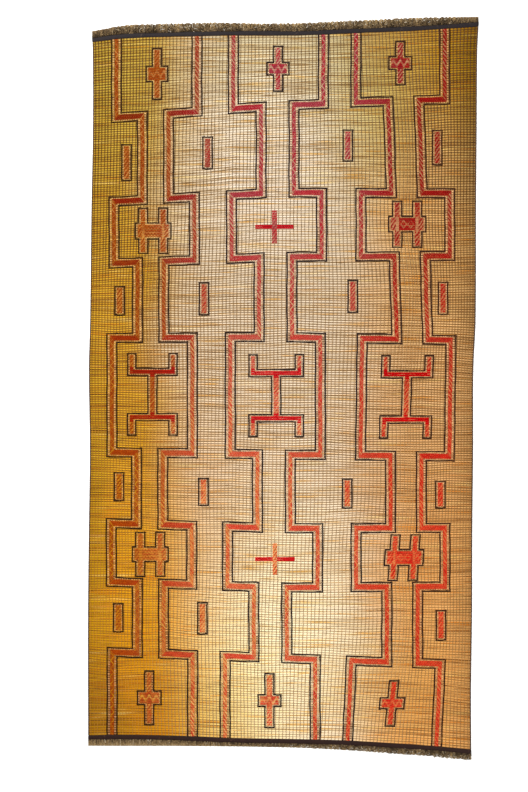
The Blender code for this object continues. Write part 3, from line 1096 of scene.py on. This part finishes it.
def add_reed_bed(material):
    """A thin mat of pith and fibre under the round of the reeds, which stands for the woven field; its dark
    colour is painted shade between the bundles.
    """
    across_past, along_past = BED_OVERHANG
    across = np.linspace(-across_past, 1 + across_past, BED_COLUMNS)
    along = np.linspace(-along_past, 1 + along_past, BED_ROWS)
    x, y = weave_point(*np.meshgrid(across, along))
    flat = np.stack([x.ravel(), y.ravel()], 1)
    low = np.column_stack([flat, np.full(len(flat), BED_BOTTOM)])
    high = np.column_stack([flat, np.full(len(flat), BED_TOP)])
    index = np.arange(len(flat)).reshape(BED_ROWS, BED_COLUMNS)
    cells = np.stack([index[:-1, :-1], index[:-1, 1:], index[1:, 1:], index[1:, :-1]], 2)
    cells = cells.reshape(-1, 4)
    rim = np.concatenate([index[0, :-1], index[:-1, -1], index[-1, :0:-1], index[:0:-1, 0]])
    after = np.roll(rim, -1)
    top = cells + len(flat)
    sides = np.stack([rim, after, after + len(flat), rim + len(flat)], 1)
    faces = top.tolist() + cells[:, ::-1].tolist() + sides.tolist()
    return new_piece("reed_bed_shade", np.vstack([low, high]), faces, material)


def add_reeds(chance, material):
    """Bundles of round reeds that lie across the mat."""
    bundle = np.repeat(np.arange(BUNDLES), REEDS_IN_BUNDLE)
    place = np.tile(np.arange(REEDS_IN_BUNDLE) - (REEDS_IN_BUNDLE - 1) / 2, BUNDLES)
    count = len(bundle)
    share = (bundle + 0.5 + place * REED_SPREAD) / BUNDLES
    across = np.linspace(-REED_OVERHANG, 1 + REED_OVERHANG, REED_STEPS + 1)
    x, y = weave_point(across[None, :], share[:, None])
    drift = chance.normal(0, 0.22, (count, REED_STEPS + 1))
    height = REED_MIDDLE + chance.normal(0, 0.1, (count, REED_STEPS + 1))
    centres = np.stack([x, y + drift, height], 2)
    radius = REED_RADIUS * chance.uniform(0.9, 1.04, count)[:, None]
    points, faces = tubes(centres, radius, radius, REED_SIDES)
    tone = chance.normal(0.5, 0.22, count)
    along = tone[:, None] + chance.normal(0, 0.2, (count, REED_STEPS + 1))
    along = np.clip(along, 0, 1)
    read = {
        "tone": np.repeat(along.ravel(), REED_SIDES),
        # the lowest reed of each bundle, which the reed material darkens with painted shade
        "edge": np.repeat(np.where(place < 0, 1.0, 0.0), (REED_STEPS + 1) * REED_SIDES),
        "across": np.tile(np.repeat(across, REED_SIDES), count),
    }
    return new_piece("reeds", points, faces, material, read)


def add_thongs(chance, material):
    """Thongs that stitch over every bundle, in three pieces from left to right."""
    pieces = []
    for part, thongs in enumerate(np.array_split(np.arange(THONGS), THONG_PIECES)):
        across = np.repeat((thongs + 0.5) / THONGS, BUNDLES)
        along = np.tile((np.arange(BUNDLES) + 0.5) / BUNDLES, len(thongs))
        x, y = weave_point(across, along)
        step = 1 / BUNDLES
        before = np.stack(weave_point(across, along - step), 1)
        after = np.stack(weave_point(across, along + step), 1)
        start, slow, quick = (np.repeat(chance.uniform(0, 6.3, len(thongs)), BUNDLES) for _ in range(3))
        wander = 0.8 * np.sin(start) + 0.9 * np.sin(slow + y / 95) + 0.5 * np.sin(quick + y / 31)
        middles = np.stack([x + wander + chance.normal(0, 0.3, len(x)), y], 1)
        direction = after - before
        lengths = np.linalg.norm(direction, axis=1) / 2 * STITCH_OVERLAP
        slant = np.stack([direction[:, 0] + THONG_SLANT * direction[:, 1], direction[:, 1]], 1)
        shown = ~covered(middles)
        count = int(shown.sum())
        widths = THONG_WIDTH * chance.uniform(0.8, 1.15, count)
        tops = THONG_TOP + chance.normal(0, 0.1, count)
        points, faces = stitches(middles[shown], slant[shown], lengths[shown], widths, tops)
        tones = {"tone": for_each_point(chance.random(count))}
        name = "thongs_" + ("left", "middle", "right")[part]
        pieces.append(new_piece(name, points, faces, material, tones))
    return pieces


def add_under_thongs(material):
    """The same thongs on the underside, where they lie flat against the floor."""
    across = ((np.arange(THONGS) + 0.5) / THONGS)[:, None]
    along = np.linspace(UNDER_INSET, 1 - UNDER_INSET, UNDER_STEPS)[None, :]
    x, y = weave_point(*np.broadcast_arrays(across, along))
    height = np.broadcast_to(np.resize(UNDER_HEIGHTS, UNDER_STEPS), x.shape)
    points, faces = tubes(np.stack([x, y, height], 2), *UNDER_RADII, UNDER_SIDES)
    tones = {"tone": np.full(len(points), 0.4)}
    return new_piece("thongs_under", points, faces, material, tones)


def laces_along(path, lanes, run_spread, bar_spread, run_middle=0.0, bar_middle=0.0, closed=False, turn=0.0):
    """Stitches in lanes along a stepped path. turn is how far they run on past its corners.

    A row holds the middle, the direction, the length, the width, the place along and across the
    path, and whether it lies on a bar.
    """
    rows = []
    for lane in range(lanes):
        place = (lane + 0.5) / lanes * 2 - 1
        run_offset = run_middle + place * run_spread
        bar_offset = bar_middle + place * bar_spread
        line = parallel(path, run_offset, bar_offset, closed)
        if closed:
            line = np.vstack([line, line[:1]])
        travelled = 0.0
        last = len(line) - 2
        for number, (start, stop) in enumerate(zip(line, line[1:])):
            along = stop - start
            along /= np.linalg.norm(along)
            start = start - along * turn * (closed or number > 0)
            stop = stop + along * turn * (closed or number < last)
            reach = np.linalg.norm(stop - start)
            is_bar = abs(along[0]) > abs(along[1])
            count = max(1, round(reach / STITCH_LENGTH))
            length = reach / count
            width = 2 * (bar_spread if is_bar else run_spread) / lanes
            across = bar_offset if is_bar else run_offset
            beside = np.array((-along[1], along[0]))
            for step in range(count):
                gone = (step + 0.5) * length
                sway = 0.8 * math.sin((travelled + gone) / 47) + 0.5 * math.sin((travelled + gone) / 19)
                middle = start + along * gone + beside * sway * (0 < step < count - 1)
                rows.append((*middle, *along, length, width, travelled + gone, across, is_bar))
            travelled += reach
    return np.array(rows)


def lace_piece(name, rows, patterns, fill, overlap, chance, material):
    """A piece made of laid stitches, with what its material reads at each of them.

    fill is their width as a share of their lane, and overlap their length as a share of their room.
    """
    count = len(rows)
    lengths = rows[:, 4] * overlap
    tops = LACE_TOP + chance.normal(0, 0.08, count)
    points, faces = stitches(rows[:, :2], rows[:, 2:4], lengths, rows[:, 5] * fill, tops)
    attributes = {
        "tone": for_each_point(chance.random(count)),
        "along": for_each_point(rows[:, 6]) + np.tile(STITCH_ALONG, count) * for_each_point(rows[:, 4]),
        "across": for_each_point(rows[:, 7]),
        "pattern": for_each_point(patterns),
    }
    return new_piece(name, points, faces, material, attributes)


def core_piece(name, rows, patterns, chance, material):
    """Red laces side by side, each with its lacing pattern."""
    return lace_piece(name, rows, patterns, CORE_FILL, STITCH_OVERLAP, chance, material)


def line_piece(name, rows, chance, material):
    """Black laces in single lines."""
    plain = np.full(len(rows), PLAIN)
    return lace_piece(name, rows, plain, LINE_FILL, LINE_OVERLAP, chance, material)


def add_band_cores(chance, material):
    """The red middle of every stepped band."""
    pieces = []
    names = ("left_outer", "left_inner", "middle_left", "middle_right", "right_inner", "right_outer")
    for name, path, pattern in zip(names, BAND_PATHS, BAND_PATTERNS):
        rows = laces_along(path, CORE_LANES, CORE_RUN_HALF, CORE_BAR_HALF)
        patterns = np.where(rows[:, 8] > 0, PLAIN, pattern)
        pieces.append(core_piece("core_" + name, rows, patterns, chance, material))
    return pieces


def add_margins(chance, material):
    """The paler reeds between each red core and its black lines, where no thong wears them."""
    line = LINE_LACE / 2
    run_gap, bar_gap = LINE_RUN_OFFSET - line - CORE_RUN_HALF, LINE_BAR_OFFSET - line - CORE_BAR_HALF
    run, bar = CORE_RUN_HALF + run_gap / 2, CORE_BAR_HALF + bar_gap / 2
    rows = []
    for path in BAND_PATHS:
        for way in (-1, 1):
            rows.append(laces_along(path, 1, run_gap / 2, bar_gap / 2, way * run, way * bar))
    for kind, _, core, _ in CORES:
        if kind != PLUS:
            run, bar = (FIGURE_RUN_GAP - line) / 2, (FIGURE_BAR_GAP - line) / 2
            rows.append(laces_along(core, 1, run, bar, -run, -bar, closed=True))
    rows = np.vstack(rows)
    count = len(rows)
    tops = MARGIN_TOP + chance.normal(0, 0.08, count)
    points, faces = stitches(rows[:, :2], rows[:, 2:4], rows[:, 4], rows[:, 5], tops)
    attributes = {"tone": for_each_point(chance.random(count)), "place": np.tile(STITCH_ALONG, count)}
    return new_piece("reed_margins", points, faces, material, attributes)


def add_band_lines(chance, material):
    """The two black lines beside every stepped band."""
    rows = []
    half = LINE_LACE / 2
    for path in BAND_PATHS:
        for way in (-1, 1):
            offsets = (way * LINE_RUN_OFFSET, way * LINE_BAR_OFFSET)
            rows.append(laces_along(path, 1, half, half, *offsets, turn=half * LINE_TURN))
    return line_piece("band_lines", np.vstack(rows), chance, material)


def figure_pattern(kind, across, along, block, column):
    """The lacing pattern at a place in a figure, given from its middle. column is -1, 0 or 1."""
    in_block = abs(along) < block - FIGURE_BAR_GAP
    if kind == CROSS and in_block:
        return WAVES
    if kind == BARRED and in_block and abs(across) < ARM_SPREAD - PALE_INNER:
        return CHEVRONS if column < 0 else DIAMONDS
    if kind == BARRED and in_block and abs(across) < ARM_SPREAD + PALE_OUTER:
        return PALE
    if kind == BRACKET and block < abs(along) < block + BRACKET_BAR:
        return BOLD
    if kind == PLUS and abs(across) > PLUS_ARM:
        return BOLD
    return DIAGONAL


def fill_core(outline, middle):
    """Lengthwise laces that fill an outline, with the same columns as laces_along gives."""
    left, right = outline[:, 0].min(), outline[:, 0].max()
    lanes = max(2, round((right - left) / FIGURE_LACE))
    spacing = (right - left) / lanes
    rows = []
    x0, y0 = outline[:, 0], outline[:, 1]
    x1, y1 = np.roll(x0, -1), np.roll(y0, -1)
    for lane in range(lanes):
        x = left + (lane + 0.5) * spacing
        cut = (x0 > x) != (x1 > x)
        heights = np.sort(y0[cut] + (x - x0[cut]) / (x1[cut] - x0[cut]) * (y1[cut] - y0[cut]))
        for low, high in zip(heights[::2], heights[1::2]):
            count = max(1, round((high - low) / STITCH_LENGTH))
            length = (high - low) / count
            for i in range(count):
                y = low + (i + 0.5) * length
                rows.append((x, y, 0.0, 1.0, length, spacing, y - middle[1], x - middle[0], 0))
    return rows


def add_figures(chance, red, black):
    """The red cores and black outlines of the figures and tablets."""
    cores, patterns, outlines = [], [], []
    half = LINE_LACE / 2
    for kind, middle, core, block in CORES:
        rows = fill_core(core, middle)
        cores += rows
        column = round(middle[0] / COLUMN_SPACING)
        patterns += [figure_pattern(kind, row[7], row[6], block, column) for row in rows]
        if kind != PLUS:
            gaps = (-FIGURE_RUN_GAP, -FIGURE_BAR_GAP)
            outlines.append(laces_along(core, 1, half, half, *gaps, closed=True, turn=half * LINE_TURN))
    return [
        core_piece("figure_cores", np.array(cores), np.array(patterns), chance, red),
        line_piece("figure_lines", np.vstack(outlines), chance, black),
    ]


def add_end_band(name, end, chance, material):
    """A creased leather band folded over the end of the weave."""
    turns = 2 * math.pi * np.arange(BAND_SIDES) / BAND_SIDES
    share = 0.5 - 0.5 * np.sign(np.cos(turns)) * np.abs(np.cos(turns)) ** 0.7
    lift = np.sign(np.sin(turns)) * np.abs(np.sin(turns)) ** 0.55
    inner = end_places(end, 0, BAND_STEPS)
    outer = end_places(end, -BAND_WIDTH, BAND_STEPS)
    x = inner[:, None] + (outer - inner)[:, None] * share
    pucker = np.zeros(BAND_STEPS)
    for waves in (41, 67, 113):
        pucker += np.sin(np.linspace(0, waves * 2 * math.pi, BAND_STEPS) + chance.uniform(0, 6.3))
    wobble = chance.normal(0, 0.3, BAND_STEPS) + 0.8 * np.sin(inner / 53) + 0.6 * np.sin(inner / 21 + 1)
    edge = wobble[:, None] * np.cos(turns)
    y = end_y(end, x, 0) + end * (BAND_WIDTH * share + edge)
    half = BAND_THICKNESS / 2
    z = half + half * lift * np.where(lift > 0, 1 + 0.05 * pucker[:, None], 1)
    points = np.stack([x, y, z], 2).reshape(-1, 3)
    faces = ring_faces(1, BAND_STEPS, BAND_SIDES)
    if end < 0:
        faces = [face[::-1] for face in faces]
    return new_piece(name, points, faces, material)


def add_binding(name, side, chance, material):
    """A thin leather strip wrapped round and round a long edge."""
    bottom, top = (corner(side, end, 0, GAP)[1] for end in (-1, 1))
    wraps = int((top - bottom) / WRAP_LENGTH)
    y = np.linspace(bottom, top, 2 * wraps + 1)
    fat = np.where(np.arange(len(y)) % 2, 1.0, 0.84) * chance.uniform(0.94, 1.05, len(y))
    fat[0] = fat[-1] = 0.6
    x = side_x(side, y, BINDING_WIDTH / 2)
    centres = np.stack([x, y, np.full(len(y), BINDING_MIDDLE)], 1)[None]
    wide, high = BINDING_RADII
    points, faces = tubes(centres, wide * fat, high * fat, BINDING_SIDES)
    return new_piece(name, points, faces, material)


def fringe_form(end, x):
    """The fringe at places along an end.

    Gives how far out its tufts reach, how ruffled it is (1 in the middle and almost 0 at the
    corners), how far each place is up the side of its tuft, from 0 to 1, and its pale share.
    """
    left, right = end_places(end, -BAND_WIDTH, 2)
    ruffled = np.clip(np.minimum(x - left, right - x) / CALM_CORNER, 0.04, 1)
    phase = (x - left) / (right - left) * LOCKS
    phase = phase + 0.35 * np.sin(0.7 * phase) + 0.2 * np.sin(1.9 * phase + 1)
    tuft = np.abs(np.sin(math.pi * phase)) ** 0.6
    tuft *= 1 - 0.14 * np.sin(1.3 * phase) ** 2 - 0.1 * np.sin(2.9 * phase + 2) ** 2
    if end < 0:
        ruffled = np.interp(x, (-900, -200, 150, 400), (0.1, 0.3, 0.8, 1.0))
        pale = np.clip((x + 100) / 500, 0, 0.7)
        return BOTTOM_DEPTH(x) * (0.97 - 0.2 * ruffled * (1 - tuft)), ruffled, tuft, pale
    full = np.clip((-100 - x) / 250, 0, 1) * ruffled
    reach = TOP_DEPTH(x) * (0.97 + 0.3 * full - 0.2 * ruffled * (1 - tuft))
    pale = np.clip(1 - np.abs(x + 530) / 220, 0, 1) * ruffled
    return reach, ruffled, tuft, pale


def felt_height(share, ruffled):
    """Top of the matted fringe, from its root at 0 to its edge at 1."""
    return 1.3 + (1.4 + 2.8 * ruffled) * np.sin(math.pi * np.clip(share, 0, 1) ** 0.8 * 0.93)


def add_fringe(name, end, shade, chance, material):
    """Frayed strands that curl out from under an end band. shade holds the tones from left to right."""

    def draw(low, high):
        return chance.uniform(low, high, STRANDS)

    left, right = end_places(end, -BAND_WIDTH, 2)
    x = draw(left + 1.5, right - 1.5)
    depth, ruffled, _, pale = fringe_form(end, x)
    wisp = chance.random(STRANDS) < (WISPS + 0.3 * pale) * ruffled
    start = np.where(wisp, draw(0.4, 0.8), draw(0, 0.75))
    start = depth * ruffled * start
    length = depth * draw(0.35, 1.0) * (1 - 0.5 * ruffled)
    lean = ruffled * np.where(wisp, chance.normal(0, 0.5, STRANDS), chance.normal(0, 1.0, STRANDS))
    share = np.linspace(0, 1, STRAND_STEPS + 1)
    turns = draw(4, 9)[:, None] * share + draw(0, 6.3)[:, None]
    curl = (ruffled * draw(1.5, 5.0))[:, None] * share
    sides = x[:, None] + (length * np.sin(lean))[:, None] * share + curl * np.sin(turns)
    sides = np.clip(sides, -HALF_BOX_WIDTH, HALF_BOX_WIDTH)
    out = start[:, None] + (length * np.cos(lean))[:, None] * share + curl * np.cos(turns) * 0.5
    out = np.clip(out, 0, 1.2 * depth[:, None])
    root = end_y(end, x, FRINGE_TUCK - BAND_WIDTH)[:, None]
    limit = HALF_BOX_LENGTH + STRAND_SLACK
    along = np.clip(root + end * out, -limit, limit)
    rise = (ruffled * draw(0.5, 2.2))[:, None]
    height = felt_height(out / depth[:, None], ruffled[:, None]) + rise
    centres = np.stack([sides, along, height], 2)
    thick = np.where(wisp, draw(0.6, 1.0), draw(0.9, 1.9))
    taper = thick[:, None] * (1 - 0.6 * share)
    points, faces = tubes(centres, taper, taper * 0.65, STRAND_SIDES)
    base = np.interp(x, np.linspace(left, right, len(shade)), shade)
    tone = base + np.where(wisp, 0.2 + 0.4 * pale, 0.0) + chance.normal(0, 0.16 + 0.1 * ruffled, STRANDS)
    tone = np.clip(tone[:, None] + 0.3 * (out / depth[:, None] - 0.5), 0, 1)
    tones = {"tone": np.repeat(tone.ravel(), STRAND_SIDES)}
    return new_piece(name, points, faces, material, tones)


def add_felt(name, end, shade, chance, material):
    """The matted body of the fringe: a row of soft round tufts that have grown together."""
    steps = LOCKS * FELT_STEPS
    left, right = end_places(end, -BAND_WIDTH, 2)
    x = np.linspace(left + 0.5, right - 0.5, steps + 1)
    reach, ruffled, tuft, _ = fringe_form(end, x)
    reach = reach[:, None] * FELT_REACH
    share = np.array([0.0, 0.12, 0.3, 0.5, 0.7, 0.86, 0.96, 1.0])
    root = end_y(end, x, FRINGE_TUCK - BAND_WIDTH)[:, None]
    lumps = chance.normal(0, 0.5, (steps + 1, len(share))) * ruffled[:, None]
    swell = 0.75 + 0.25 * tuft[:, None]
    top = felt_height(share, ruffled[:, None]) * swell + lumps * np.sin(math.pi * share)
    top[:, -1] = FELT_EDGE
    aside = chance.normal(0, 0.8, (steps + 1, len(share))) * ruffled[:, None]
    y = root + end * reach * share
    across = np.broadcast_to(x[:, None], y.shape)
    upper = np.stack([across + aside, y, top], 2)
    lower = np.stack([across, y, np.full(y.shape, FELT_BOTTOM)], 2)[:, [-1, 0]]
    rings = np.concatenate([upper, lower], 1)
    rings[:, :, 0] = np.clip(rings[:, :, 0], -HALF_BOX_WIDTH, HALF_BOX_WIDTH)
    around = rings.shape[1]
    ring = np.arange(around)
    row = (np.arange(steps) * around)[:, None]
    after = np.roll(ring, -1)
    quads = np.stack([row + ring, row + after, row + around + after, row + around + ring], 2)
    caps = [ring[::-1].tolist(), (ring + steps * around).tolist()]
    if end > 0:
        quads = quads[:, :, ::-1]
        caps = [cap[::-1] for cap in caps]
    base = np.interp(x, np.linspace(left, right, len(shade)), shade)
    drift = 0.1 * np.sin(x / 31) + 0.08 * np.sin(x / 13 + 2)
    # painted shade in the creases between the tufts, over a slow drift of tone, both where the fringe is
    # ruffled
    drift_and_crease_shade = (drift - 0.25 * (1 - tuft)) * ruffled
    tone = (base + drift_and_crease_shade)[:, None] + np.append(share, (1.0, 0.0)) * 0.3 - 0.12
    faces = quads.reshape(-1, 4).tolist() + caps
    tones = {"tone": np.clip(tone, 0, 1).ravel()}
    return new_piece(name, rings.reshape(-1, 3), faces, material, tones)


def add_backing(name, end, material):
    """The strip that the strands hang from, half hidden by the end band."""
    x = end_places(end, -BAND_WIDTH, BACKING_STEPS)
    y = end_y(end, x, -BAND_WIDTH - GAP) + end * BACKING_WIDTH / 2
    centres = np.stack([x, y, np.full(len(x), BACKING_MIDDLE)], 1)[None]
    points, faces = tubes(centres, *BACKING_RADII, BACKING_SIDES)
    tones = {"tone": np.full(len(points), 0.1)}
    return new_piece(name, points, faces, material, tones)


def add_stage():
    """The floor that the mat lies on."""
    bpy.ops.mesh.primitive_plane_add(size=FLOOR_SIZE, location=(0, 0, -FLOOR_DROP))
    floor = bpy.context.object
    floor.name = "floor"
    floor.data.materials.append(floor_material())


def add_light(name, place, size, power):
    """A round lamp that points at the middle of the mat."""
    data = bpy.data.lights.new(name, "AREA")
    data.shape = "DISK"
    data.size = size
    data.energy = power
    light = bpy.data.objects.new(name, data)
    light.location = place
    aim = -np.array(place)
    light.rotation_euler = (
        math.atan2(math.hypot(aim[0], aim[1]), -aim[2]),
        0,
        math.atan2(aim[1], aim[0]) - math.pi / 2,
    )
    bpy.context.scene.collection.objects.link(light)


def add_lights_and_camera():
    """White light from all round, the lamps, and a camera straight above."""
    world = bpy.data.worlds.new("studio")
    world.use_nodes = True
    world.node_tree.nodes["Background"].inputs["Color"].default_value = (1, 1, 1, 1)
    world.node_tree.nodes["Background"].inputs["Strength"].default_value = SKY
    bpy.context.scene.world = world
    for light in LIGHTS:
        add_light(*light)
    data = bpy.data.cameras.new("camera")
    data.lens = LENS
    data.sensor_width = SENSOR
    data.clip_end = 100
    camera = bpy.data.objects.new("camera", data)
    distance = VIEW_HEIGHT * LENS / SENSOR
    camera.location = (VIEW_MIDDLE[0] * MM, VIEW_MIDDLE[1] * MM, distance * MM)
    bpy.context.scene.collection.objects.link(camera)
    bpy.context.scene.camera = camera
    bpy.context.scene.view_settings.view_transform = "Standard"


def add_mat():
    """Every piece of the mat, in the order that the random draws need."""
    chance = np.random.default_rng(SEED)
    reed, thong = reed_material(), thong_material()
    red, black = red_material(), black_material()
    band = leather_material("band", colour(17, 14, 17), colour(34, 27, 28), colour(70, 54, 44))
    band_low = leather_material("band_low", colour(24, 11, 8), colour(42, 22, 16), colour(84, 54, 34))
    binding = leather_material("binding", colour(48, 30, 18), colour(84, 58, 36), colour(120, 88, 54))
    fringe = fringe_material()

    bed = add_reed_bed(gap_shade_material())
    pieces = [add_reeds(chance, reed)]
    pieces += add_thongs(chance, thong)
    pieces.append(add_under_thongs(thong))
    pieces.append(add_margins(chance, margin_material()))
    pieces += add_band_cores(chance, red)
    pieces.append(add_band_lines(chance, black))
    pieces += add_figures(chance, red, black)
    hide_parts("reed_field")

    for end, place in ((1, "top"), (-1, "bottom")):
        band_piece = add_end_band("end_leather_" + place, end, chance, band if end > 0 else band_low)
        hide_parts("end_band_" + place)
        shades = TOP_SHADES if end > 0 else BOTTOM_SHADES
        strands = add_fringe("fringe_strands_" + place, end, shades, chance, fringe)
        felt = add_felt("fringe_felt_" + place, end, shades, chance, fringe)
        backing = add_backing("fringe_backing_" + place, end, fringe)
        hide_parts("fringe_" + place)
        pieces += [band_piece, strands, felt, backing]
    for side, place in ((-1, "left"), (1, "right")):
        wrap = add_binding("edge_wrap_" + place, side, chance, binding)
        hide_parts("side_binding_" + place)
        pieces.append(wrap)


add_mat()
add_stage()
add_lights_and_camera()
